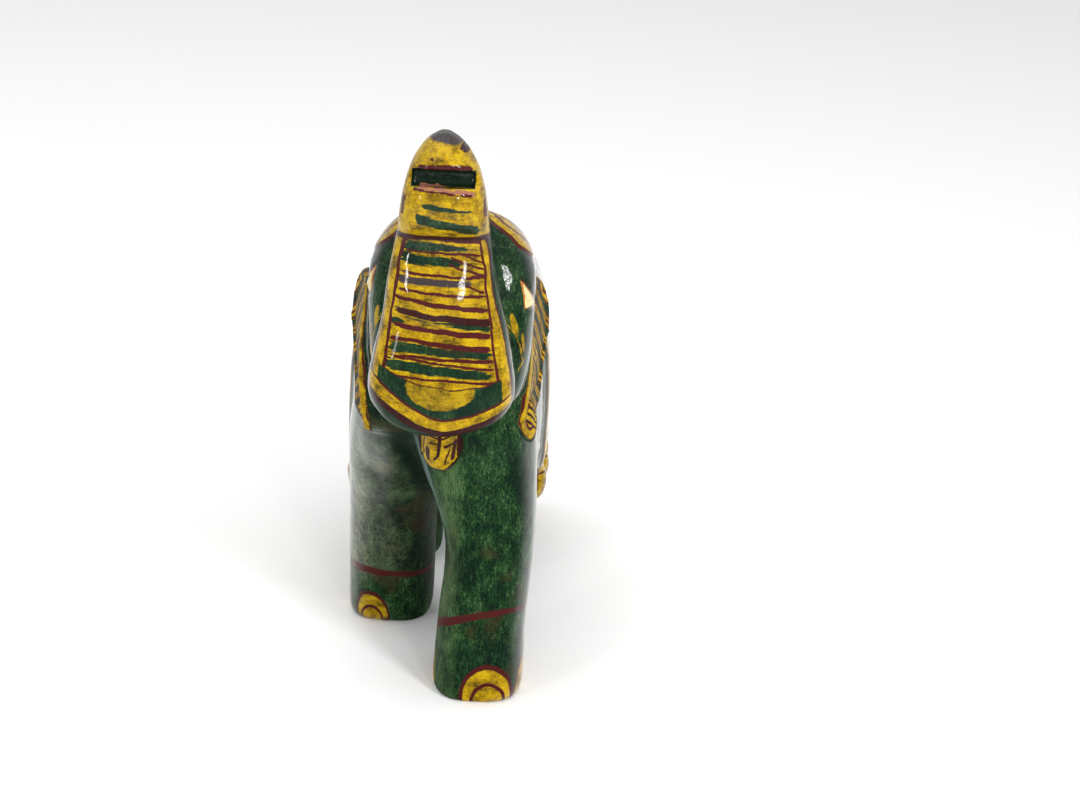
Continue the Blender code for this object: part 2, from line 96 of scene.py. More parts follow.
class Paint:
    # one material with its nodes, and the painter's moves that are made of them

    def __init__(self, name):
        self.material = bpy.data.materials.new(name)
        self.material.use_nodes = True
        self.nodes = self.material.node_tree.nodes
        self.links = self.material.node_tree.links
        self.shader = self.nodes["Principled BSDF"]

    def add(self, kind, settings=None, inputs=(), output=0):
        node = self.nodes.new("ShaderNode" + kind)
        for key, value in (settings or {}).items():
            setattr(node, key, value)
        pairs = inputs.items() if isinstance(inputs, dict) else enumerate(inputs)
        for key, value in pairs:
            if isinstance(value, Wave):
                self.links.new(value.socket, node.inputs[key])
            elif value is not None:
                node.inputs[key].default_value = value
        return Wave(self, node.outputs[output])

    def least(self, first, *rest):
        for other in rest:
            first = first.math("MINIMUM", other)
        return first

    def most(self, first, *rest):
        for other in rest:
            first = first.math("MAXIMUM", other)
        return first

    def ease(self, value, low, high):
        smooth = {"interpolation_type": "SMOOTHSTEP"}
        return self.add("MapRange", smooth, [value, low, high, 0.0, 1.0])

    def inside(self, distance, soft=0.07):
        # 1 where distance is above zero, with a painted edge of the width soft
        return self.ease(distance, -soft / 2, soft / 2)

    def line(self, distance, half):
        # a line along distance zero, as a distance of its own
        return half - abs(distance)

    def vector(self, operation, *values):
        return self.add("VectorMath", {"operation": operation}, values)

    def blend(self, share, under, over):
        over = (*over, 1) if isinstance(over, tuple) else over
        under = (*under, 1) if isinstance(under, tuple) else under
        return self.add("Mix", {"data_type": "RGBA"}, {0: share, 6: under, 7: over}, output=2)

    def grain(self, place, size, stretch=(1, 1, 1), detail=2.0, rough=0.5, seed=0.0, output=0):
        # soft noise with lumps of the given size, longer along the axes that stretch more
        spot = self.vector("MULTIPLY", place, tuple(1 / (size * s) for s in stretch))
        if seed:
            spot = self.vector("ADD", spot, (seed, 1.7 * seed, -seed))
        inputs = {"Vector": spot, "Scale": 1.0, "Detail": detail, "Roughness": rough}
        return self.add("TexNoise", {}, inputs, output)

    def parts(self, place):
        node = self.nodes.new("ShaderNodeSeparateXYZ")
        self.links.new(place.socket, node.inputs[0])
        return [Wave(self, socket) for socket in node.outputs]

    def field(self, name):
        return self.add("Attribute", {"attribute_name": name}, output=2)  # a number kept on the mesh

    def ellipse(self, across, along, wide, tall):
        # 1 minus the distance from the middle, measured in radii
        span = (across / wide) * (across / wide) + (along / tall) * (along / tall)
        return 1 - span.math("SQRT")

    def fold(self, value, pitch):
        return value.math("PINGPONG", pitch / 2)  # distance from the nearest of evenly spaced lines

    def stroke(self, across, along, start, end, halfStart, halfEnd, tip=0.6):
        # a brush stroke that runs along, thins from one half width to the other and tapers at its ends
        room = self.least(along - start, end - along)
        slope = (halfEnd - halfStart) / (end - start)
        half = along * slope + (halfStart - start * slope)
        return half * self.ease(room, 0.0, tip) - abs(across) - 0.01


# Carving: the solid's skin on a fine even mesh, with the finer relief pressed in

carving = {
    "voxel": 0.425,
    "softPasses": 14,
    "wobble": 0.09,  # depth of the hand-ground unevenness
    "wobbleSize": 6.5,
    "dints": 0.022,
    "dintSize": 1.1,
    "trunkShift": 0.45,  # how far the lower trunk stands to the elephant's left
    "capRise": 0.18,
    "lidGroove": 0.16,
    "eyeRise": 0.22,
    "earGroove": 0.16,
    "clothGroove": 0.10,
    "panelSwell": (0.62, 57.0, 3.6, -1.0, 4.6),  # rise, height and spread, x and spread across
    "sharpAngle": 48,
}

head = {
    "middle": 0.5,  # x of the head's middle
    "capAt": 66.45,  # the painted cap's lower edge, in the tilted height that capEdge gives
    "capSide": 0.8,
    "capBack": 0.25,
    "capFront": -29.5,
    "capNape": -12.5,
}

# the right eye stands a little further back and higher than the left
eye = {
    "front": -20.7, "back": -17.0, "low": 53.6, "tall": 2.75, "fall": 1.1, "rightShift": 2.2,
    "rightRise": 0.6,
}

# y and z of the ear's outline, as shares of its depth and height
ear = {
    "front": -27.12,
    "depth": 16.0,
    "tip": 34.8,
    "height": 19.8,
    "faceX": 10.6,
    "flare": 8.5,
    "curl": 1.1,
    "slab": 1.0,
    "border": 1.35,
    "outline": (
        (0.03, 0.78), (0.20, 0.96), (0.50, 1.00), (0.80, 0.90), (0.97, 0.70), (0.99, 0.50), (0.87, 0.37),
        (0.90, 0.25), (0.82, 0.12), (0.50, 0.05), (0.15, 0.00), (0.02, 0.20), (0.00, 0.50),
    ),
}

cloth = {"front": -6.62, "back": 28.88, "hem": 23.8, "axis": 36.0, "girth": 17.0}
pendant = {
    "count": 6, "middle": 21.0, "wide": 2.15, "tall": 3.2, "outside": 10.9,
    "curl": (0.9, 1.0, 1.4), "bar": 1.35,
}

# the hollow between the front legs: x and z of its two ends, and the painted shade in it and the painted
# highlight on the facet beside it
chest = {
    "hollow": ((-4.4, 32.0), (-0.8, 20.5)), "depth": 0.9, "wide": 1.4, "shade": 1.7,
    "facetAt": 2.0, "facetLow": 23.5,
}

tail = {
    "behind": 38.6, "reach": 2.3, "lean": 0.10, "leanFrom": 34.0, "tuftTop": 21.2, "end": 10.0,
    "rings": (24.5, 4.2), "ringSpan": (22.0, 40.0), "hairPitch": 1.15,
}

feet = {
    "centres": ((5.6, -22.5), (-7.3, -0.7), (6.9, 32.1), (-6.9, 20.1)),
    "reach": 6.8,
}

slot = {
    "x": -0.45, "wide": 7.1, "high": 1.9, "deep": 3.6, "mouth": (-41.74, 71.5), "fall": 8.0,
}


def pointsOf(mesh, kind="co", scale=1 / mm):
    places = np.empty(len(mesh.vertices) * 3, np.float32)
    mesh.vertices.foreach_get(kind, places)
    return places.reshape(-1, 3).astype(float) * scale


def setPoints(mesh, places):
    mesh.vertices.foreach_set("co", (places * mm).astype(np.float32).ravel())
    mesh.update()


def applyModifiers(thing):
    graph = bpy.context.evaluated_depsgraph_get()
    mesh = bpy.data.meshes.new_from_object(thing.evaluated_get(graph))
    old = thing.data
    thing.modifiers.clear()
    thing.data = mesh
    bpy.data.meshes.remove(old)


def newObject(name, bm):
    mesh = bpy.data.meshes.new(name)
    bm.to_mesh(mesh)
    bm.free()
    thing = bpy.data.objects.new(name, mesh)
    bpy.context.scene.collection.objects.link(thing)
    return thing


def fineCopy(node):
    bm = bmesh.new()
    bm.from_mesh(node.data)
    bmesh.ops.remove_doubles(bm, verts=bm.verts, dist=0.001 * mm)
    thing = newObject("carvedElephant", bm)
    remesh = thing.modifiers.new("even", "REMESH")
    remesh.mode = "VOXEL"
    remesh.voxel_size = carving["voxel"] * mm
    applyModifiers(thing)
    return thing


def smoothed(mesh, places, passes, shrink=0.50, grow=0.53):
    # rounds facets away without thinning the form: each pass shrinks a little and grows back
    edges = np.empty(len(mesh.edges) * 2, np.int64)
    mesh.edges.foreach_get("vertices", edges)
    one, two = edges.reshape(-1, 2).T
    count = len(mesh.vertices)
    degree = np.bincount(edges, minlength=count)[:, None]

    def step(values, share):
        total = [
            np.bincount(one, values[two, axis], count) + np.bincount(two, values[one, axis], count)
            for axis in range(3)
        ]
        return values + share * (np.stack(total, axis=1) / degree - values)

    for _ in range(passes):
        places = step(step(places, shrink), -grow)
    return places


def easeArray(value, low, high):
    t = np.clip((value - low) / (high - low), 0, 1)
    return t * t * (3 - 2 * t)


def lumps(places, size):
    return np.array([noise.noise(Vector(place) / size) for place in places])


def trunkFront(places):
    # the trunk's foremost y at each point's height
    x, y, z = places.T
    levels = np.arange(38.0, 77.0, 0.5)
    rows = []
    for level in levels:
        near = (abs(z - level) < 0.6) & (abs(x) < 4.5)
        rows.append(y[near].min() if near.any() else -36.0)
    smooth = np.convolve(np.pad(rows, 2, mode="edge"), np.ones(5) / 5, mode="valid")
    return np.interp(z, levels, smooth)


def panelAcross(places):
    # distance across the trunk's front, carried on round its sides
    x, y, _ = places.T
    depth = np.clip(y - trunkFront(places) - 1.5, 0, 25)
    return x + np.sign(x) * depth


def earOutline(steps=4):
    corners = np.array(ear["outline"])
    points = []
    for i in range(len(corners)):
        before, start, end, after = (corners[(i + k) % len(corners)] for k in (-1, 0, 1, 2))
        for t in np.arange(steps) / steps:
            points.append(
                0.5 * (2 * start + (end - before) * t + (2 * before - 5 * start + 4 * end - after) * t * t
                + (3 * start - before - 3 * end + after) * t ** 3)
            )
    return np.array(points) * (ear["depth"], ear["height"]) + (ear["front"], ear["tip"])


def earInset(places):
    # distance inwards from the ear's outline, on the ear's own face
    x, y, z = places.T
    corners = earOutline()
    spots = np.stack([y, z], axis=1)
    reach = np.full(len(y), 1e9)
    within = np.zeros(len(y), bool)
    for start, end in zip(corners, np.roll(corners, -1, axis=0)):
        run = end - start
        t = np.clip(((spots - start) @ run) / (run @ run), 0, 1)
        reach = np.minimum(reach, np.linalg.norm(spots - start - t[:, None] * run, axis=1))
        crosses = (start[1] > z) != (end[1] > z)
        rise = run[1] if abs(run[1]) > 1e-9 else 1e-9
        within ^= crosses & (y < start[0] + (z - start[1]) * run[0] / rise)
    inset = np.where(within, reach, -reach)
    middle = ear["tip"] + ear["height"] / 2
    bend = ear["curl"] * ((z - middle) / (ear["height"] / 2)) ** 2
    face = ear["faceX"] + (y - ear["front"]) * tan(radians(ear["flare"])) - bend
    return np.minimum(inset, 2 * (abs(x) - face + ear["slab"]))


def capEdge(x, y, z):
    return z + head["capSide"] * abs(x - head["middle"]) + head["capBack"] * (y + 26) - head["capAt"]


def eyeShape(x, y, z):
    # place along the eye and height over its lower lid, from the side of the head
    along = abs(x - head["middle"]) + y - (x < 0) * eye["rightShift"]
    return along, z - eye["low"] - (x < 0) * eye["rightRise"]


def eyeMask(along, up):
    length = eye["back"] - eye["front"]
    share = np.clip((along - eye["front"]) / length, 0, 1)
    top = eye["tall"] * (1 - share) ** eye["fall"]
    return np.minimum(np.minimum(up, top - up), along - eye["front"])


def pressRelief(places, normals):
    x, y, z = places.T
    depth = np.zeros(len(x))
    depth += carving["wobble"] * lumps(places, carving["wobbleSize"])
    depth += carving["dints"] * lumps(places, carving["dintSize"])
    headZone = easeArray(-y, 12.5, 14.0) * easeArray(y, -31.5, -30.5)
    depth += carving["capRise"] * easeArray(capEdge(x, y, z), -0.2, 0.25) * headZone * (z > 50)
    inset = earInset(places)
    depth -= carving["earGroove"] * np.exp(-((inset - ear["border"]) / 0.28) ** 2)
    along, up = eyeShape(x, y, z)
    white = eyeMask(along, up)
    onCheek = (abs(x) > 6) & (y < -20) & (y > -31) & (z > 50)
    depth += onCheek * carving["eyeRise"] * easeArray(white, -0.1, 0.8)
    depth -= onCheek * carving["lidGroove"] * np.exp(-((white + 0.35) / 0.22) ** 2)
    border = np.minimum(np.minimum(y - cloth["front"], cloth["back"] - y), z - cloth["hem"])
    depth -= carving["clothGroove"] * np.exp(-((border - 1.9) / 0.25) ** 2)
    (topX, topZ), (lowX, lowZ) = chest["hollow"]
    slant = x - topX - (z - topZ) * (lowX - topX) / (lowZ - topZ)
    onChest = easeArray(-y, 11, 14) * easeArray(z, lowZ - 4, lowZ) * easeArray(-z, -topZ - 2, -topZ + 1)
    hollow = chest["depth"] * np.exp(-(slant / chest["wide"]) ** 2)
    depth -= hollow * onChest * np.clip(-normals[:, 1], 0, 1)
    rise, level, tall, middle, wide = carving["panelSwell"]
    swell = rise * np.exp(-((z - level) / tall) ** 2 - ((x - middle) / wide) ** 2)
    depth += swell * (y < -34) * np.clip(-normals[:, 1], 0, 1)
    places = places + normals * depth[:, None]
    lowTrunk = easeArray(-z, -60, -52) * easeArray(z, 40, 43) * easeArray(-y, 27, 33)
    places[:, 0] += carving["trunkShift"] * lowTrunk
    return places


def cutSlot(thing):
    # the slot again with crisp walls, which the even mesh had rounded
    bm = bmesh.new()
    bmesh.ops.create_cube(bm, size=1.0)
    reach = slot["deep"] + 6
    bmesh.ops.scale(bm, vec=(slot["wide"], reach, slot["high"]), verts=bm.verts)
    bmesh.ops.bevel(
        bm, geom=bm.edges[:], affect="EDGES", offset=0.45, segments=3, profile=0.5, material=-1
    )
    ahead = reach / 2 - slot["deep"]
    mouthY, mouthZ = slot["mouth"]
    turn = Matrix.Rotation(radians(-slot["fall"]), 4, "X")
    place = Matrix.Translation((slot["x"], mouthY, mouthZ)) @ turn @ Matrix.Translation((0, -ahead, 0))
    bmesh.ops.transform(bm, matrix=Matrix.Scale(mm, 4) @ place, verts=bm.verts)
    cutter = newObject("slotTool", bm)
    boolean = thing.modifiers.new("slot", "BOOLEAN")
    boolean.operation = "DIFFERENCE"
    boolean.object = cutter
    applyModifiers(thing)
    bpy.data.objects.remove(cutter)


def chipEdges(places):
    # small flakes off the slot's lower edge
    x, y, z = places.T
    lip = slot["mouth"][1] - slot["high"] / 2
    near = np.exp(-((z - lip + 0.25) / 0.35) ** 2) * (abs(x - slot["x"]) < 3.7) * (y < -39.5)
    rough = lumps(places[near > 0.05], 0.9)
    places = places.copy()
    places[near > 0.05, 1] += 0.30 * near[near > 0.05] * np.clip(rough + 0.25, 0, 1)
    return places


def keepFields(mesh):
    # numbers that the paint follows, kept on the mesh's points
    places = pointsOf(mesh)
    x, y, z = places.T
    centres = np.array(feet["centres"])
    nearest = np.argmin(((places[:, None, :2] - centres) ** 2).sum(2), axis=1)
    fields = {
        "panelAcross": panelAcross(places),
        "earInset": earInset(places),
        "footAcross": x - centres[nearest, 0],
        "footAhead": y - centres[nearest, 1],
    }
    for name, values in fields.items():
        layer = mesh.attributes.new(name, "FLOAT", "POINT")
        layer.data.foreach_set("value", values.astype(np.float32))


def carveElephant():
    thing = fineCopy(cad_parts["elephant"])
    mesh = thing.data
    setPoints(mesh, smoothed(mesh, pointsOf(mesh), carving["softPasses"]))
    places = pressRelief(pointsOf(mesh), pointsOf(mesh, "normal", 1))
    places = chipEdges(places)
    low, high = np.array(solidBox) / mm
    setPoints(mesh, np.clip(places, low, high))
    cutSlot(thing)
    thing.data.shade_smooth()
    thing.data.set_sharp_from_angle(angle=radians(carving["sharpAngle"]))
    keepFields(thing.data)
    print("carved", len(thing.data.polygons), "faces")
    return thing


# Paint

colours = {
    "stoneDark": (0.0025, 0.011, 0.0055),
    "stoneMid": (0.012, 0.046, 0.014),
    "stoneLight": (0.060, 0.115, 0.042),
    "edgeSheen": (0.085, 0.150, 0.060),
    "facetHighlight": (0.10, 0.15, 0.14),
    "olive": (0.15, 0.15, 0.035),
    "brown": (0.040, 0.026, 0.010),
    "yellow": (0.50, 0.320, 0.006),
    "yellowDeep": (0.27, 0.160, 0.004),
    "yellowGreen": (0.095, 0.062, 0.005),
    "maroon": (0.062, 0.009, 0.009),
    "maroonDark": (0.030, 0.006, 0.006),
    "bandGreen": (0.008, 0.024, 0.014),
    "plum": (0.045, 0.034, 0.036),
    "cream": (0.66, 0.58, 0.30),
    "orange": (0.42, 0.16, 0.03),
    "chip": (0.30, 0.12, 0.075),
    "slotShade": (0.004, 0.012, 0.006),
    "sheenPale": (0.34, 0.36, 0.22),
}

panel = {
    "top": 64.6,
    "leftAt": (-6.6, 48.8, 0.11),  # x of the inner border at a height, and its slope
    "rightAt": (6.7, 47.4, -0.175),
    "borderHalf": 0.20,
    "leftBand": 2.3,
    "rightBand": 1.0,
    "rightSpread": 0.11,
    "sag": (46.95, 0.034, 1.2),  # lowest height, bend and middle of the panel's bottom line
}

# stripes across the trunk: paint, height in the middle, drop to the right, half width at the left
# and at the right, and where it starts and ends as shares of the panel's width
stripes = (
    ("bare", 62.95, 0.5, 0.66, 0.30, -0.02, 0.84),
    ("bare", 61.40, 0.6, 0.76, 0.34, -0.02, 0.76),
    ("plum", 59.05, 0.1, 0.46, 0.32, -0.02, 0.86),
    ("bare", 54.55, 1.2, 0.10, 0.55, 0.44, 1.00),
    ("bare", 54.35, 0.2, 0.50, 0.12, -0.02, 0.16),
    ("bare", 51.25, 0.5, 0.54, 0.48, 0.00, 0.98),
    ("bare", 49.15, 1.0, 0.66, 0.52, -0.02, 0.96),
    ("maroon", 64.10, 0.6, 0.28, 0.42, 0.04, 1.05),
    ("maroon", 62.35, 0.6, 0.11, 0.17, 0.02, 1.00),
    ("maroon", 63.30, 4.2, 0.12, 0.17, 0.66, 1.02),
    ("maroon", 62.45, 4.2, 0.13, 0.18, 0.62, 1.02),
    ("maroon", 61.70, 4.2, 0.14, 0.19, 0.60, 1.02),
    ("maroon", 59.80, 0.5, 0.15, 0.20, 0.00, 1.00),
    ("maroon", 60.10, 4.5, 0.14, 0.22, 0.72, 1.02),
    ("maroon", 57.80, 0.6, 0.15, 0.20, 0.02, 1.00),
    ("maroon", 56.60, 1.2, 0.24, 0.30, 0.00, 1.01),
    ("maroonDark", 55.15, 1.1, 0.34, 0.50, 0.03, 1.03),
    ("maroon", 53.55, 1.1, 0.28, 0.36, 0.02, 1.02),
    ("maroon", 52.05, 1.0, 0.24, 0.36, 0.02, 1.00),
    ("maroon", 50.45, 0.2, 0.15, 0.22, 0.00, 1.01),
    ("maroon", 49.95, 1.1, 0.12, 0.18, 0.04, 1.01),
    ("maroon", 48.05, 0.4, 0.14, 0.20, 0.04, 1.00),
)


# how far the painter's hand strays, and over what length
hand = {
    "slowSize": 2.6, "slowSway": 0.55, "fastSize": 0.55, "fastSway": 0.17, "bristle": 0.20,
    "faceFront": -29.9,  # y ahead of which the trunk and the face are painted
}

# sizes of the stone's grains, their shares in its tone, and the tones where each colour comes in
stone = {
    "fine": 0.24, "streak": 0.17, "patch": 1.3, "cloud": 4.5, "rust": 5.5,
    "shares": (0.62, 0.50, 0.62, 0.66), "midFrom": (1.08, 1.34), "lightFrom": (1.27, 1.50),
    "wornFrom": (0.45, 0.60), "speckFrom": (0.57, 0.72), "rustFrom": (0.55, 0.68),
    "sheenPatchesFrom": (1.1, 1.9), "legTop": 33.0,
    "sheenAt": -9.0,  # x past which the far front leg gets a painted pale reflection
    "innerSheenAt": (-0.8, 2.4),  # x of the near front leg's inner side, which gets a painted pale reflection
}


class Spot:
    # the place being painted, with every coordinate that the motifs follow

    def __init__(self, paint):
        raw = paint.add("TexCoord", output=3)
        self.true = paint.vector("MULTIPLY", raw, (1 / mm, 1 / mm, 1 / mm))
        slow = paint.grain(self.true, hand["slowSize"], detail=1.0, output=1)
        fast = paint.grain(self.true, hand["fastSize"], detail=2.0, seed=7.0, output=1)
        middle = (0.5, 0.5, 0.5)
        shake = paint.vector("MULTIPLY", paint.vector("SUBTRACT", slow, middle), (hand["slowSway"],) * 3)
        rough = paint.vector("MULTIPLY", paint.vector("SUBTRACT", fast, middle), (hand["fastSway"],) * 3)
        stray = paint.vector("ADD", shake, rough)
        self.x, self.y, self.z = paint.parts(paint.vector("ADD", self.true, stray))
        self.strayX, self.strayY, _ = paint.parts(stray)
        self.across = paint.field("panelAcross") + self.strayX
        self.inset = paint.field("earInset") + self.strayY
        self.side = abs(self.x - head["middle"])
        self.ahead = paint.inside(hand["faceFront"] - self.y, 0.4)  # on the trunk and the face
        level = paint.grain(self.true, hand["bristle"], (7, 7, 1), detail=3.0, rough=0.6, seed=13.0)
        self.brush = level - 0.5  # streaks of a brush drawn sideways


def paintStone(p, at):
    fine = p.grain(at.true, stone["fine"], (1, 1, 1.5), detail=3.0, rough=0.7, seed=29.0)
    streak = p.grain(at.true, stone["streak"], (1, 1, 9), detail=3.0, rough=0.6, seed=3.0)
    patch = p.grain(at.true, stone["patch"], (1, 1, 1.5), detail=5.0, rough=0.7, seed=19.0)
    cloud = p.grain(at.true, stone["cloud"], (1, 1, 1.6), detail=4.0, rough=0.6, seed=11.0)
    fineShare, streakShare, patchShare, cloudShare = stone["shares"]
    tone = fine * fineShare + streak * streakShare + patch * patchShare + cloud * cloudShare
    colour = p.blend(p.ease(tone, *stone["midFrom"]), colours["stoneDark"], colours["stoneMid"])
    colour = p.blend(p.ease(tone, *stone["lightFrom"]), colour, colours["stoneLight"])
    worn = p.ease(cloud * 0.6 + patch * 0.4, *stone["wornFrom"])
    colour = p.blend(p.ease(fine, *stone["speckFrom"]) * worn * 0.65, colour, colours["olive"])
    rust = p.ease(p.grain(at.true, stone["rust"], detail=3.0, seed=41.0), *stone["rustFrom"])
    colour = p.blend(rust * 0.55, colour, colours["brown"])
    # painted pale reflection in patches on the front legs: along the far leg's outer edge and the near
    # leg's inner side
    low = p.inside(stone["legTop"] - at.z, 10.0)
    sheenPatches = p.ease(streak + patch + cloud, *stone["sheenPatchesFrom"])
    edge = p.ease(stone["sheenAt"] - at.x, 0.0, 2.4) * 0.36
    legSheen = (edge + p.ease(-2.0 - at.x, 0.0, 5.0) * 0.16) * low * sheenPatches
    front = p.inside(4.0 - at.y, 6.0) * p.inside(at.z - 8.0, 5.0)
    colour = p.blend(legSheen * front, colour, colours["sheenPale"])
    innerLeft, innerRight = stone["innerSheenAt"]
    inner = p.inside(p.least(innerRight - at.x, at.x - innerLeft), 2.0) * p.inside(-14.0 - at.y, 3.0)
    return p.blend(inner * low * sheenPatches * 0.7, colour, colours["edgeSheen"]), tone


def paintChest(p, at, colour):
    # painted shade in the carved hollow between the front legs, and a painted highlight on the facet beside
    # it
    zone = p.inside(-13.0 - at.y, 2.0) * p.inside(35.0 - at.z, 2.0) * p.inside(at.z - 18.0, 2.0)
    (topX, topZ), (lowX, lowZ) = chest["hollow"]
    slant = at.x - topX - (at.z - topZ) * ((lowX - topX) / (lowZ - topZ))
    shade = p.inside(p.line(slant, chest["shade"]), 1.4) * zone * 0.94
    colour = p.blend(shade, colour, colours["stoneDark"])
    # painted highlight: a pale strip where the facet beside the hollow catches the light
    facetHighlight = p.inside(p.line(slant - chest["facetAt"], 0.38) + at.brush * 0.4, 0.3)
    return p.blend(facetHighlight * zone * p.inside(at.z - chest["facetLow"], 2.0) * 0.8, colour, colours["facetHighlight"])


goldPaint = {
    "streak": 0.22, "cloud": 1.7, "fine": 0.30, "deepFrom": (0.42, 0.53),
    "brightFrom": (0.50, 0.68),
}


def brushed(p, at, stretch, seed):
    # yellow paint, thin and thick in patches, with faint streaks of the brush
    streak = p.grain(at.true, goldPaint["streak"], stretch, detail=2.0, seed=seed)
    cloud = p.grain(at.true, goldPaint["cloud"], detail=4.0, rough=0.6, seed=seed + 5)
    fine = p.grain(at.true, goldPaint["fine"], detail=2.0, seed=seed + 9)
    tone = streak * 0.22 + cloud * 0.70 + fine * 0.22
    deep = p.blend(p.ease(tone, *goldPaint["deepFrom"]), colours["yellowGreen"], colours["yellowDeep"])
    return p.blend(p.ease(tone, *goldPaint["brightFrom"]), deep, colours["yellow"])


def layer(p, colour, mask, tint):
    return p.blend(mask, colour, colours[tint] if isinstance(tint, str) else tint)


def slantLine(p, across, up, start, end, halfStart, halfEnd):
    # a short brush line between two points of a flat drawing
    run = Vector(end) - Vector(start)
    along = ((across - start[0]) * run.x + (up - start[1]) * run.y) / run.length
    beside = ((across - start[0]) * run.y - (up - start[1]) * run.x) / run.length
    return p.stroke(beside, along, -0.1, run.length + 0.1, halfStart, halfEnd, tip=0.3)


def panelSides(p, at):
    leftX, leftZ, leftSlope = panel["leftAt"]
    rightX, rightZ, rightSlope = panel["rightAt"]
    pinch = p.most(at.z - 61.5, 0.0) * 0.13
    left = (at.z - leftZ) * leftSlope + leftX + pinch
    right = (at.z - rightZ) * rightSlope + rightX
    return left, right


def panelBottom(at):
    lowest, bend, middle = panel["sag"]
    offset = at.x - middle
    return offset * offset * bend + lowest


def paintPanel(p, at, colour, gold):
    left, right = panelSides(p, at)
    fromLeft, fromRight = at.across - left, right - at.across
    share = fromLeft / (right - left)
    bottom = panelBottom(at)
    upright = p.least(at.z - bottom, panel["top"] - at.z)
    spread = p.most(60.0 - at.z, 0.0) * panel["rightSpread"] + panel["rightBand"]
    leftEdge, top = fromLeft + panel["leftBand"], panel["top"] + 0.4 - at.z
    bands = p.least(leftEdge, fromRight + spread, top, at.z - 45.6)
    colour = layer(p, colour, p.inside(bands) * at.ahead, gold)
    field = p.inside(p.least(fromLeft, fromRight, upright)) * at.ahead
    for tint in ("bare", "plum", "maroonDark", "maroon"):
        marks = None
        for name, height, drop, halfLeft, halfRight, start, end in stripes:
            if name != tint:
                continue
            across = at.z + (share - 0.5) * drop - height
            mark = p.stroke(across, share + at.brush * 0.25, start, end, halfLeft, halfRight, tip=0.05)
            marks = mark if marks is None else p.most(marks, mark)
        dry = tint in ("bare", "plum")  # drawn with a dry brush
        tone = at.bare if tint == "bare" else tint
        shape = p.inside(marks + at.brush * (0.8 if dry else 0.25), 0.16 if dry else 0.08)
        colour = layer(p, colour, shape * field, tone)
    outerLeft = p.line(fromLeft + panel["leftBand"] + 0.1, panel["borderHalf"])
    outerRight = p.line(fromRight + spread + 0.1, panel["borderHalf"])
    inner = p.most(p.line(fromLeft, panel["borderHalf"]), p.line(fromRight, panel["borderHalf"] - 0.05))
    inner = p.least(inner, at.z - bottom, panel["top"] + 0.8 - at.z)
    outer = p.least(p.most(outerLeft, outerRight), at.z - 46.2, panel["top"] + 0.2 - at.z)
    sagging = p.least(p.line(at.z - bottom, 0.16), fromLeft + 0.2, fromRight + 0.2)
    return layer(p, colour, p.inside(p.most(inner, outer, sagging)) * at.ahead, "maroon")


# half petal and pointed band at the bottom of the trunk
trunkBend = {
    "petal": (0.1, 47.2, 3.9, 2.65),  # x and z of its middle, and its radii
    "low": 40.5, "bandX": 0.5, "bandZ": 42.35, "bandHalf": 0.70, "reach": (-9.6, 9.4),
}


def paintBend(p, at, colour, gold):
    left, right = panelSides(p, at)
    bottom = panelBottom(at)
    below = p.least(bottom - at.z, at.z - trunkBend["low"], at.across - left + 0.5, right + 0.3 - at.across)
    middleX, middleZ, wide, tall = trunkBend["petal"]
    petal = p.least(p.ellipse(at.x - middleX, at.z - middleZ, wide, tall) * 3.0, below)
    colour = layer(p, colour, p.inside(below, 0.15) * at.ahead, at.bare)
    colour = layer(p, colour, p.inside(petal + at.brush * 0.4, 0.15) * at.ahead * 0.78, gold)
    run = at.x - trunkBend["bandX"]
    bow = abs(run).math("POWER", 1.5)
    slant = p.ease(run, -0.5, 0.5) * -0.055 + 0.2
    off = at.z - bow * slant - trunkBend["bandZ"]
    half = trunkBend["bandHalf"] - at.x * 0.02
    start, end = trunkBend["reach"]
    reach = p.least(at.across - start, end - at.across)
    ribbon = p.least(half - abs(off), reach)
    colour = layer(p, colour, p.inside(ribbon + at.brush * 0.2) * at.ahead, gold)
    upper = p.least(p.line(off - half - 0.14, 0.16), reach)
    # a dark maroon band under the ribbon: partly the underside's maroon paint, partly painted shade beneath
    # the ribbon
    lower = p.least(p.line(off + half + 0.55, 0.52), reach + 0.8)
    colour = layer(p, colour, p.inside(upper) * at.ahead, "maroon")
    return layer(p, colour, p.inside(lower + at.brush * 0.3, 0.2) * at.ahead, "maroonDark")


# the yellow tip of the trunk, and x, z and radii of its pits
trunkTip = {
    "crown": 74.9, "low": 64.45, "half": 8.0, "sideMarks": (5.6, 68.0),
    "pits": ((-1.8, 73.35, 0.20, 0.17), (2.0, 74.2, 0.55, 0.28), (1.45, 74.5, 0.25, 0.25)),
}


def slotRise(y, z):
    # height over the slot's middle, which falls inwards
    mouthY, mouthZ = slot["mouth"]
    return z + (y - mouthY) * tan(radians(slot["fall"])) - mouthZ


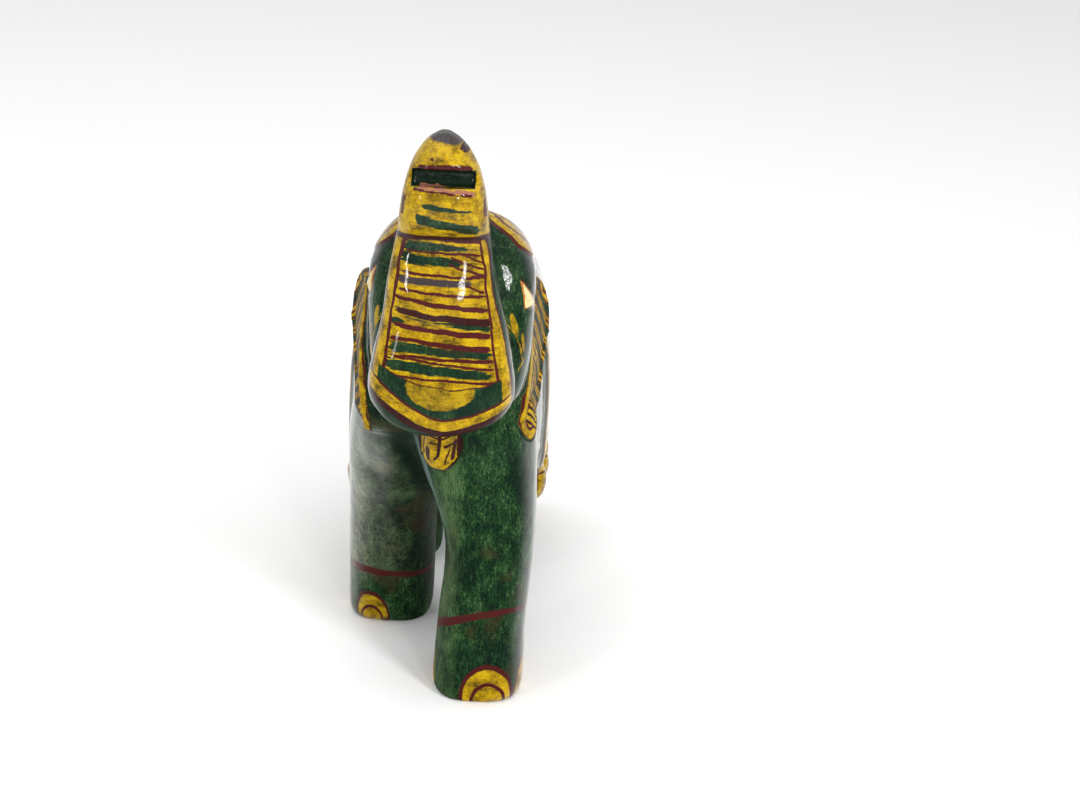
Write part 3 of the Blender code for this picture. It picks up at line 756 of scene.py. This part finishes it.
def paintTip(p, at, colour, gold):
    up = slotRise(at.y, at.z)
    wide = at.x - slot["x"]
    crown = trunkTip["crown"] - at.z - at.x * 0.08
    onTip = at.z - trunkTip["low"]
    front = p.least(trunkTip["half"] - abs(at.across), crown, onTip)
    colour = layer(p, colour, p.inside(front) * at.ahead, gold)
    markX, markZ = trunkTip["sideMarks"]
    edge = p.least(p.line(abs(at.across) - markX, 0.7), p.line(at.z - markZ, 1.0)) + at.brush
    crest = p.least(p.line(crown + 0.35, 0.42), onTip)
    high = p.stroke(at.z + (at.x - 0.3) * 0.10 - 68.15, at.x, -2.9, 3.3, 0.38, 0.12)
    low = p.stroke(at.z + at.x * 0.20 - 66.2, at.x, -3.5, 3.7, 0.62, 0.62, tip=0.25)
    bare = p.most(high, low) + at.brush * 0.5
    colour = layer(p, colour, p.inside(bare, 0.14) * at.ahead, at.bare)
    worn = p.stroke(up + 2.1, at.x, -2.4, 2.0, 0.45, 0.35)
    colour = layer(p, colour, p.inside(worn, 0.4) * at.ahead * 0.45, "yellowGreen")
    under = p.line(onTip + 0.25, 0.35)  # painted shade along the step below the tip
    step = p.inside(p.least(under, 7.4 - abs(at.across)), 0.3)
    colour = layer(p, colour, step * at.ahead, "maroonDark")
    ledge = p.stroke(up - 1.18, wide, -3.1, 3.4, 0.30, 0.42) + at.brush * 0.3
    colour = layer(p, colour, p.inside(p.most(edge, ledge)) * at.ahead, "maroon")
    colour = layer(p, colour, p.inside(crest, 0.25) * p.inside(onTip), "plum")
    # inside the slot, painted shade: the bare stone darkened three quarters of the way to near black
    trueX, trueY, trueZ = p.parts(at.true)
    deep = p.least(
        slot["wide"] / 2 + 0.02 - abs(trueX - slot["x"]),
        slot["high"] / 2 + 0.02 - abs(slotRise(trueY, trueZ)),
        -37.6 - trueY,
    )
    colour = layer(p, colour, p.inside(deep, 0.04), p.blend(0.75, at.bare, colours["slotShade"]))
    flake = p.grain(at.true, 0.55, (1.6, 1, 1), detail=3.0, seed=53.0)
    lip = p.least(p.line(up + 1.22 + wide * 0.09, 0.26), p.line(wide - 0.4, 3.1)) + (flake - 0.5) * 1.1
    colour = layer(p, colour, p.inside(lip, 0.15) * at.ahead, "chip")
    rim = p.least(p.line(up + 1.5 + wide * 0.09, 0.12), p.line(wide, 3.3)) + (flake - 0.5) * 0.6
    colour = layer(p, colour, p.inside(rim) * at.ahead, "maroon")
    pits = p.most(*(p.ellipse(at.x - x, at.z - z, across, tall) for x, z, across, tall in trunkTip["pits"]))
    return layer(p, colour, p.inside(pits, 0.2) * p.inside(onTip), "maroonDark")


# places along the face's side, from its front backwards
face = {
    "low": 44.0,
    "back": -19.5,
    "aside": 5.5,
    "pupil": (-17.6, 0.75, 0.75),  # place, height over the eye's lower edge, radius
    "stem": (-24.3, 52.6, 0.50),  # place, height and slope
    "stemEnds": (46.6, 53.0),
    "stemBow": (49.6, 0.085, 0.6),
    "leaves": (  # place, slope, the height that it turns about, height and radii
        (-23.3, 0.16, 51.6, 51.7, 0.48, 1.55),
        (-21.9, 0.10, 49.6, 49.6, 0.36, 1.15),
        (-22.3, -0.9, 46.9, 47.0, 0.30, 0.75),
    ),
}


def paintFace(p, at, colour, gold):
    onRight = p.inside(-at.x)
    along = at.side + at.y - onRight * eye["rightShift"]
    zone = p.inside(at.z - face["low"]) * p.inside(face["back"] - at.y) * p.inside(at.side - face["aside"])
    share = (along - eye["front"]) / (eye["back"] - eye["front"])
    top = (1 - share).math("MAXIMUM", 0.0).math("POWER", eye["fall"]) * eye["tall"]
    up = at.z - eye["low"] - onRight * eye["rightRise"]
    white = p.least(up, top - up, along - eye["front"])
    rim = p.least(p.line(white + 0.1, 0.16), up + 0.1)
    lid = p.least(p.line(top + 0.55 - up, 0.10), along - eye["front"] + 0.3, eye["back"] + 1.0 - along)
    place, height, radius = face["pupil"]
    pupil = p.ellipse(along - place, up - height, radius, radius)
    leaves = p.most(*(
        p.ellipse(along - place + (at.z - pivot) * slope, at.z - height, wide, tall)
        for place, slope, pivot, height, wide, tall in face["leaves"]
    ))
    place, height, slope = face["stem"]
    pivot, curve, weight = face["stemBow"]
    bow = (at.z - pivot) * (at.z - pivot) * curve
    beside = along - place - (height - at.z) * slope + bow * weight
    stem = p.stroke(beside, at.z, *face["stemEnds"], 0.22, 0.07, tip=0.8)
    strokes = p.most(leaves * 0.5, stem)
    colour = layer(p, colour, p.inside(strokes, 0.12) * zone * 0.85, gold)
    colour = layer(p, colour, p.inside(white) * zone, "cream")
    colour = layer(p, colour, p.inside(p.least(pupil, white)) * zone, "maroonDark")
    colour = layer(p, colour, p.inside(rim) * zone, "orange")
    return layer(p, colour, p.inside(lid) * zone, "maroonDark")


# rows of the cap's pattern, as heights over its lower edge
capPaint = {
    "pitch": 2.2,
    "dab": (2.4, 0.50, 0.75),  # height and radii
    "bud": (2.2, 0.38, 0.55), "heart": (4.7, 0.35, 0.45), "bandHalf": 0.75,
    "rows": ((1.15, 0.14), (3.7, 0.20), (5.6, 0.20)),  # height and half width
}


def paintCap(p, at, colour, gold):
    tilted = at.z + at.side * head["capSide"] + (at.y + 26) * head["capBack"] - head["capAt"]
    zone = p.inside(p.least(at.y - head["capFront"], head["capNape"] - at.y), 0.2) * p.inside(-at.inset)
    run = at.side + at.y * 0.8
    pitch = capPaint["pitch"]

    def motif(name, start):
        height, wide, tall = capPaint[name]
        return p.ellipse(p.fold(start, pitch), tilted - height, wide, tall)

    colour = layer(p, colour, p.inside(tilted - 0.3) * zone, gold)
    band = p.line(tilted - capPaint["heart"][0], capPaint["bandHalf"]) - 0.2
    rows = p.most(*(p.line(tilted - height, half) for height, half in capPaint["rows"]))
    colour = layer(p, colour, p.inside(p.most(motif("dab", run), band)) * zone, "bandGreen")
    colour = layer(p, colour, p.inside(motif("heart", run)) * zone, gold)
    colour = layer(p, colour, p.inside(p.most(motif("bud", run + pitch / 2), rows)) * zone, "maroon")
    return layer(p, colour, p.inside(p.line(tilted - 0.02, 0.27)) * zone, "maroon")


# the ears' strokes fan out, broad and spaced behind, fine and close at the lower front
earPaint = {
    "rise": 0.80, "run": 0.60, "curve": 0.006, "pitch": 2.3, "finePitch": 0.95, "combBack": 7.5,
    "combUp": 12.5, "frontBack": 4.2,
}


def paintEars(p, at, colour, gold):
    # a plain front border, and behind it strokes that run back and down
    on = p.inside(at.inset)
    back, up = at.y - ear["front"], at.z - ear["tip"]
    frontBand = p.least(ear["border"] - at.inset, earPaint["frontBack"] - back)
    fan = up * earPaint["rise"] + back * (earPaint["run"] + back * earPaint["curve"])
    room = p.least(earPaint["combBack"] - back, earPaint["combUp"] - up)
    comb = p.inside(room + (at.inset - 1.0) * 0.1, 0.8)
    pitch = earPaint["pitch"]
    broad = p.fold(fan, pitch)
    fine = p.fold(fan + 0.2, earPaint["finePitch"])
    colour = layer(p, colour, on, gold)
    gaps = p.line(broad, 0.42) + at.brush * 0.3
    colour = layer(p, colour, p.inside(gaps, 0.15) * on * (1 - comb), at.bare)
    edges = p.line(broad - 0.55, 0.12)
    hollow = p.line(p.fold(fan + pitch / 2, pitch), 0.14)
    colour = layer(p, colour, p.inside(p.most(edges, hollow)) * on * (1 - comb), "maroon")
    teeth = p.line(fine, 0.20) + at.brush * 0.15
    colour = layer(p, colour, p.inside(teeth) * on * comb, "maroonDark")
    colour = layer(p, colour, p.inside(frontBand) * on, gold)
    rim = p.least(p.line(at.inset - ear["border"], 0.22), earPaint["frontBack"] + 0.2 - back)
    rim = p.most(rim, p.line(at.inset - 0.02, 0.13))
    return layer(p, colour, p.inside(rim) * on, "maroon")


# the cloth's border, as distances in from its edge, and the lattice of flowers inside it
clothPaint = {
    "slant": 0.7071, "pitch": 5.4, "offset": 1.0, "flower": 1.25, "heart": 0.55, "field": 4.0,
    "band": (2.75, 0.85), "dotPitch": 1.9, "dot": 0.36, "arch": (2.2, 1.7),
    "rows": ((1.75, 0.17), (3.75, 0.17), (0.08, 0.15)),
}


def pendantFold(p, at):
    # distance along the hem from the middle of the nearest pendant
    pitch = (cloth["back"] - cloth["front"]) / pendant["count"]
    return p.fold(at.y - cloth["front"] - pitch / 2, pitch)


def paintCloth(p, at, colour, gold):
    edge = p.least(at.y - cloth["front"], cloth["back"] - at.y, at.z - cloth["hem"])
    on = p.inside(edge)
    wrap = at.x.math("ARCTAN2", at.z - cloth["axis"]) * cloth["girth"]
    pitch, slant, offset = clothPaint["pitch"], clothPaint["slant"], clothPaint["offset"]
    one = p.fold((at.y + wrap) * slant - offset, pitch)
    two = p.fold((at.y - wrap) * slant - offset, pitch)
    inField = edge - clothPaint["field"]
    field = p.inside(inField)
    colour = layer(p, colour, on, gold)
    arch = p.ellipse(pendantFold(p, at), at.z - cloth["hem"], *clothPaint["arch"])
    middle, half = clothPaint["band"]
    colour = layer(p, colour, p.inside(p.line(edge - middle, half)), "bandGreen")
    dot = clothPaint["dot"]
    dots = p.ellipse(p.fold(at.y + wrap, clothPaint["dotPitch"]), edge - middle, dot, dot)
    colour = layer(p, colour, p.inside(dots * 0.4), gold)
    colour = layer(p, colour, field, "bandGreen")

    def blossom(radius):
        return p.ellipse(pitch / 2 - one, pitch / 2 - two, radius, radius)

    flower = blossom(clothPaint["flower"])
    colour = layer(p, colour, p.inside(p.most(flower, p.line(one, 0.20), p.line(two, 0.20))) * field, gold)
    heart = blossom(clothPaint["heart"])
    rows = p.most(*(p.line(edge - inset, half) for inset, half in clothPaint["rows"]))
    rows = p.most(rows, p.least(p.line(arch, 0.09) * 2.0, 1.7 - edge))
    marks = p.most(p.least(heart, inField), rows, p.least(p.line(flower, 0.09), inField))
    return layer(p, colour, p.inside(p.least(marks, edge + 0.1)), "maroon")


def paintPendants(p, at, colour, gold):
    along = pendantFold(p, at)
    up = at.z - pendant["middle"]
    shape = p.ellipse(along, up, pendant["wide"], pendant["tall"])
    zone = p.inside(p.least(
        abs(at.x) - pendant["outside"],
        at.y - cloth["front"] + 0.1,
        cloth["back"] - at.y + 0.1,
        cloth["hem"] + 0.3 - at.z,
    ))
    colour = layer(p, colour, p.inside(shape + 0.08) * zone, gold)
    drop, wide, tall = pendant["curl"]
    curl = p.line(p.ellipse(along, up + drop, wide, tall), 0.12)
    bar = p.least(p.line(up - pendant["bar"], 0.14), shape)
    rim = p.line(shape - 0.02, 0.07)
    return layer(p, colour, p.inside(p.most(p.least(curl, shape), bar, rim)) * zone, "maroon")


# anklets and nails, of the front left leg first and then of the others
legPaint = {
    "top": 16.5, "ring": (12.0, 8.2),
    "tilt": ((-1.8, 0.25), (-6.8, 0.45)),  # the front left ring's slope across and ahead
    "step": 1.04,  # angle between nails
    "first": (0.19, 0.33), "last": 2.5, "wide": (3.3, 2.3), "tall": (5.0, 4.3),
    "core": (0.62, 0.52),
}


def paintLegs(p, at, colour, gold):
    footX = p.field("footAcross") + at.strayX
    footY = p.field("footAhead") + at.strayY
    low = p.inside(legPaint["top"] - at.z)
    front = p.inside(10.0 - at.y) * p.inside(at.x + 0.8)
    (acrossAt, acrossSlope), (aheadAt, aheadSlope) = legPaint["tilt"]
    frontRing, ring = legPaint["ring"]
    level = (footX - acrossAt) * acrossSlope - (footY - aheadAt) * aheadSlope + frontRing
    plain = ring - footX * 0.08
    ring = plain + (level - plain) * front
    thick = 0.5 - footX * 0.030
    band = p.line(at.z - ring, 1.0) - 1.0 + thick
    fade = 0.75 + p.grain(at.true, 2.0, detail=2.0, seed=61.0) * 0.4
    colour = layer(p, colour, p.inside(band, 0.18) * low * fade.math("MINIMUM", 1.0), "maroon")
    around = footX.math("ARCTAN2", -footY)
    turn = around * (p.inside(at.x) * 2.0 - 1.0)
    frontFirst, rearFirst = legPaint["first"]
    first = front * frontFirst + (1 - front) * rearFirst
    step = legPaint["step"]
    swing = turn - first + step / 2
    reach = (swing.math("FLOORED_MODULO", step) - step / 2) * feet["reach"]
    shown = p.inside(p.least(swing, legPaint["last"] - turn))
    frontWide, rearWide = legPaint["wide"]
    frontTall, rearTall = legPaint["tall"]
    large = front * (frontWide - rearWide) + rearWide
    high = front * (frontTall - rearTall) + rearTall
    coreWide, coreTall = legPaint["core"]
    nail = p.ellipse(reach, at.z - 0.3, large, high)
    core = p.ellipse(reach - 0.1, at.z - 0.2, large * coreWide, high * coreTall)
    zone = low * shown
    colour = layer(p, colour, p.inside(nail * 3.0) * zone, gold)
    arcs = p.most(p.line(nail, 0.07), p.line(core, 0.105))
    return layer(p, colour, p.inside(arcs * 3.0) * zone, "maroon")


# the lower lip: y and z that its paint keeps within, and its bars as two ends and two half widths
lipPaint = {
    "depth": (-37.5, -25.5),
    "height": (29.5, 40.5),
    "middle": -0.25,
    "half": 2.3,
    "low": 33.3,
    # x, z and radius of the painted reflection along the lip's rounded lower edge
    "lipSheen": (-0.2, 33.6, 2.0),
    "blot": (-1.2, 35.5, 0.28, 1.15),
    "bars": (
        ((0.2, 39.0), (0.05, 35.4), 0.26, 0.22),
        ((0.05, 35.6), (-0.45, 34.8), 0.2, 0.12),
        ((-1.6, 37.8), (-1.9, 34.7), 0.10, 0.12),
        ((-1.0, 37.4), (0.0, 37.3), 0.12, 0.12),
        ((0.75, 36.9), (2.2, 37.45), 0.24, 0.10),
        ((1.45, 36.6), (0.85, 34.0), 0.10, 0.12),
        ((2.15, 37.8), (1.8, 34.8), 0.26, 0.24),
        ((-1.5, 38.4), (0.1, 38.1), 0.10, 0.16),
        ((0.3, 38.0), (2.0, 38.6), 0.16, 0.12),
    ),
}


def paintLip(p, at, colour, gold):
    (front, back), (bottom, top) = lipPaint["depth"], lipPaint["height"]
    zone = p.inside(p.least(at.y - front, back - at.y)) * p.inside(top - at.z) * p.inside(at.z - bottom)
    wide, up = at.x - lipPaint["middle"], at.z
    corner = (up - 33.2 - (wide - 0.84) * 1.1) * 0.67
    patch = p.least(lipPaint["half"] - abs(wide), up - lipPaint["low"] + abs(wide + 0.3) * 0.1, corner)
    colour = layer(p, colour, p.inside(patch + 0.5, 0.15) * zone, "maroonDark")
    # a plum painted reflection along the lip's rounded lower edge
    sheenX, sheenZ, radius = lipPaint["lipSheen"]
    lipSheen = p.least(p.ellipse(wide - sheenX, up - sheenZ, radius, radius) * 2.0, sheenZ - up)
    colour = layer(p, colour, p.inside(lipSheen, 0.3) * zone, "plum")
    colour = layer(p, colour, p.inside(patch + at.brush * 0.3) * zone, gold)
    blotX, blotZ, across, tall = lipPaint["blot"]
    blot = p.ellipse(wide - blotX, up - blotZ, across, tall) * 0.3
    bars = p.most(blot, *(slantLine(p, wide, up, *bar) for bar in lipPaint["bars"]))
    return layer(p, colour, p.inside(p.least(bars, patch + 0.1)) * zone, "maroonDark")


def paintTail(p, at, colour, gold):
    off = at.x - (tail["leanFrom"] - at.z).math("MAXIMUM", 0.0) * tail["lean"]
    zone = p.inside(at.y - tail["behind"]) * p.inside(tail["reach"] - abs(off))
    zone = zone * p.inside(at.z - tail["end"])
    tuft = p.inside(tail["tuftTop"] - at.z) * zone
    colour = layer(p, colour, tuft, gold)
    hairs = p.line(p.fold(off + at.z * 0.08, tail["hairPitch"]), 0.15)
    start, pitch = tail["rings"]
    rings = p.line(p.fold(at.z - start, pitch), 0.30)
    low, high = tail["ringSpan"]
    colour = layer(p, colour, p.inside(p.least(rings, at.z - low, high - at.z)) * zone, gold)
    return layer(p, colour, p.inside(hairs) * tuft, "maroon")


# roughness and the film of lacquer, which glints only at a flat angle
finish = {
    "scratch": 0.16, "dent": 0.42,
    "bump": (0.8, 0.13),  # strength, and depth in millimetres
    "rough": 0.30, "roughSwing": 0.16, "lacquered": 0.14, "flat": (0.20, 0.55),
    "outside": (5.8, 8.4),  # x from which the sides glint
    "filmRough": 0.06, "shine": 0.03,
}


def paintElephant():
    p = Paint("paintedStone")
    at = Spot(p)
    colour, tone = paintStone(p, at)
    at.bare = p.blend(0.45, colour, colours["bandGreen"])  # stone that the paint leaves open
    colour = paintChest(p, at, colour)
    gold = brushed(p, at, (6, 6, 1), 71.0)
    goldUpright = brushed(p, at, (1, 1, 6), 83.0)
    colour = paintCloth(p, at, colour, goldUpright)
    colour = paintPendants(p, at, colour, gold)
    colour = paintLegs(p, at, colour, gold)
    colour = paintTail(p, at, colour, goldUpright)
    colour = paintLip(p, at, colour, gold)
    colour = paintCap(p, at, colour, gold)
    colour = paintFace(p, at, colour, goldUpright)
    colour = paintPanel(p, at, colour, gold)
    colour = paintBend(p, at, colour, gold)
    colour = paintTip(p, at, colour, gold)
    colour = paintEars(p, at, colour, goldUpright)
    specks = p.grain(at.true, 0.22, detail=2.0, seed=97.0)
    colour = p.blend(p.ease(specks, 0.62, 0.70) * 0.5, colour, at.bare)  # stone shows through thin paint
    scratch = p.grain(at.true, finish["scratch"], (1, 1, 7), detail=2.0, seed=103.0)
    dents = p.grain(at.true, finish["dent"], detail=3.0, rough=0.6, seed=107.0)
    strength, depth = finish["bump"]
    relief = {"Strength": strength, "Distance": depth * mm, "Height": scratch * 0.2 + dents * 0.8}
    bump = p.add("Bump", {}, relief)
    lacquer = p.ease(at.z - at.y * 0.5, 38.0, 56.0)  # thickest on the head, rubbed thin on the legs
    lacquer = lacquer * (p.ease(at.z, 52.0, 56.0) * 0.75 + 0.25)
    dotted = p.ease(specks, 0.42, 0.60) * 1.3 + 0.35
    gloss = p.ease(scratch * 0.5 + tone * 0.5, 0.35, 0.75) * finish["roughSwing"] + finish["rough"]
    gloss = gloss - lacquer * finish["lacquered"]
    slope = p.add("LayerWeight", {}, {"Blend": 0.5}, output=1)
    plain = 1 - p.inside(at.inset + 0.3)  # not on the ears
    outer = p.ease(abs(at.x), *finish["outside"])
    glint = p.ease(slope, *finish["flat"]) * outer * (scratch * 0.8 + 0.6)
    film = (glint + lacquer * dotted * 0.30) * plain + 0.02
    looks = {"Base Color": colour, "Normal": bump, "Roughness": gloss, "Coat Weight": film}
    for name, wave in looks.items():
        p.links.new(wave.socket, p.shader.inputs[name])
    p.shader.inputs["Coat Roughness"].default_value = finish["filmRough"]
    p.shader.inputs["Specular IOR Level"].default_value = finish["shine"]
    return p.material


elephant = carveElephant()
elephant.data.materials.clear()
elephant.data.materials.append(paintElephant())
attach(elephant, "root")
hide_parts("elephant")
print("painted")


# Camera, floor and light

studio = {
    "lens": 63.333,
    "sensor": 36,
    "cameraPlace": (7.66, -245.52, 121.0),
    "cameraTurn": (-1.09, 90 - 20.24, 3.12),  # about Z, then the camera's X, then its own axis
    "floorSize": 4000,
    "floorColour": (0.93, 0.93, 0.93),
    "floorRough": 0.9,
    "skyLow": 0.46,  # brightness of the room behind the camera
    "skyHigh": 0.88,  # and behind the elephant
    "skyTurn": (-0.75, 0.1),  # where along Y the one passes into the other
}

# name, place, width, height, power and what it is aimed at
softboxes = (
    ("overhead", (-110, -20, 600), 700, 700, 1.75, (0, 0, 30)),
    ("leftLamp", (-208, -258, 100), 24, 36, 0.16, (0, -38, 60)),
    ("rightLamp", (99, -320, 120), 24, 42, 0.18, (0, -38, 60)),
    ("cheekLamp", (167, -234, 207), 50, 80, 0.50, (8, -30, 56)),
)


def addCamera():
    data = bpy.data.cameras.new("camera")
    data.lens = studio["lens"]
    data.sensor_width = studio["sensor"]
    data.clip_start = 1 * mm
    camera = bpy.data.objects.new("camera", data)
    bpy.context.scene.collection.objects.link(camera)
    yaw, pitch, roll = (radians(angle) for angle in studio["cameraTurn"])
    turn = Matrix.Rotation(yaw, 4, "Z") @ Matrix.Rotation(pitch, 4, "X") @ Matrix.Rotation(roll, 4, "Z")
    camera.matrix_world = Matrix.Translation(Vector(studio["cameraPlace"]) * mm) @ turn
    bpy.context.scene.camera = camera


def addFloor():
    bm = bmesh.new()
    bmesh.ops.create_grid(bm, x_segments=1, y_segments=1, size=studio["floorSize"] / 2 * mm)
    floor = newObject("floor", bm)
    card = Paint("whiteCard")
    card.shader.inputs["Base Color"].default_value = (*studio["floorColour"], 1)
    card.shader.inputs["Roughness"].default_value = studio["floorRough"]
    floor.data.materials.append(card.material)


def addSoftbox(name, place, width, height, power, target):
    data = bpy.data.lights.new(name, "AREA")
    data.shape = "RECTANGLE"
    data.size = width * mm
    data.size_y = height * mm
    data.energy = power
    box = bpy.data.objects.new(name, data)
    bpy.context.scene.collection.objects.link(box)
    box.location = Vector(place) * mm
    box.rotation_euler = (Vector(target) - Vector(place)).to_track_quat("-Z", "Y").to_euler()


def addSky():
    world = bpy.data.worlds.new("studioWhite")
    bpy.context.scene.world = world
    world.use_nodes = True
    nodes, links = world.node_tree.nodes, world.node_tree.links
    sky = nodes["Background"]
    place = nodes.new("ShaderNodeTexCoord")
    split = nodes.new("ShaderNodeSeparateXYZ")
    ramp = nodes.new("ShaderNodeMapRange")
    ramp.interpolation_type = "SMOOTHSTEP"
    links.new(place.outputs["Generated"], split.inputs[0])
    links.new(split.outputs["Y"], ramp.inputs["Value"])
    ramp.inputs["From Min"].default_value, ramp.inputs["From Max"].default_value = studio["skyTurn"]
    ramp.inputs["To Min"].default_value = studio["skyLow"]
    ramp.inputs["To Max"].default_value = studio["skyHigh"]
    links.new(ramp.outputs[0], sky.inputs["Strength"])
    sky.inputs["Color"].default_value = (1, 1, 1, 1)


addCamera()
addFloor()
addSky()
for softbox in softboxes:
    addSoftbox(*softbox)
print("studio ready")
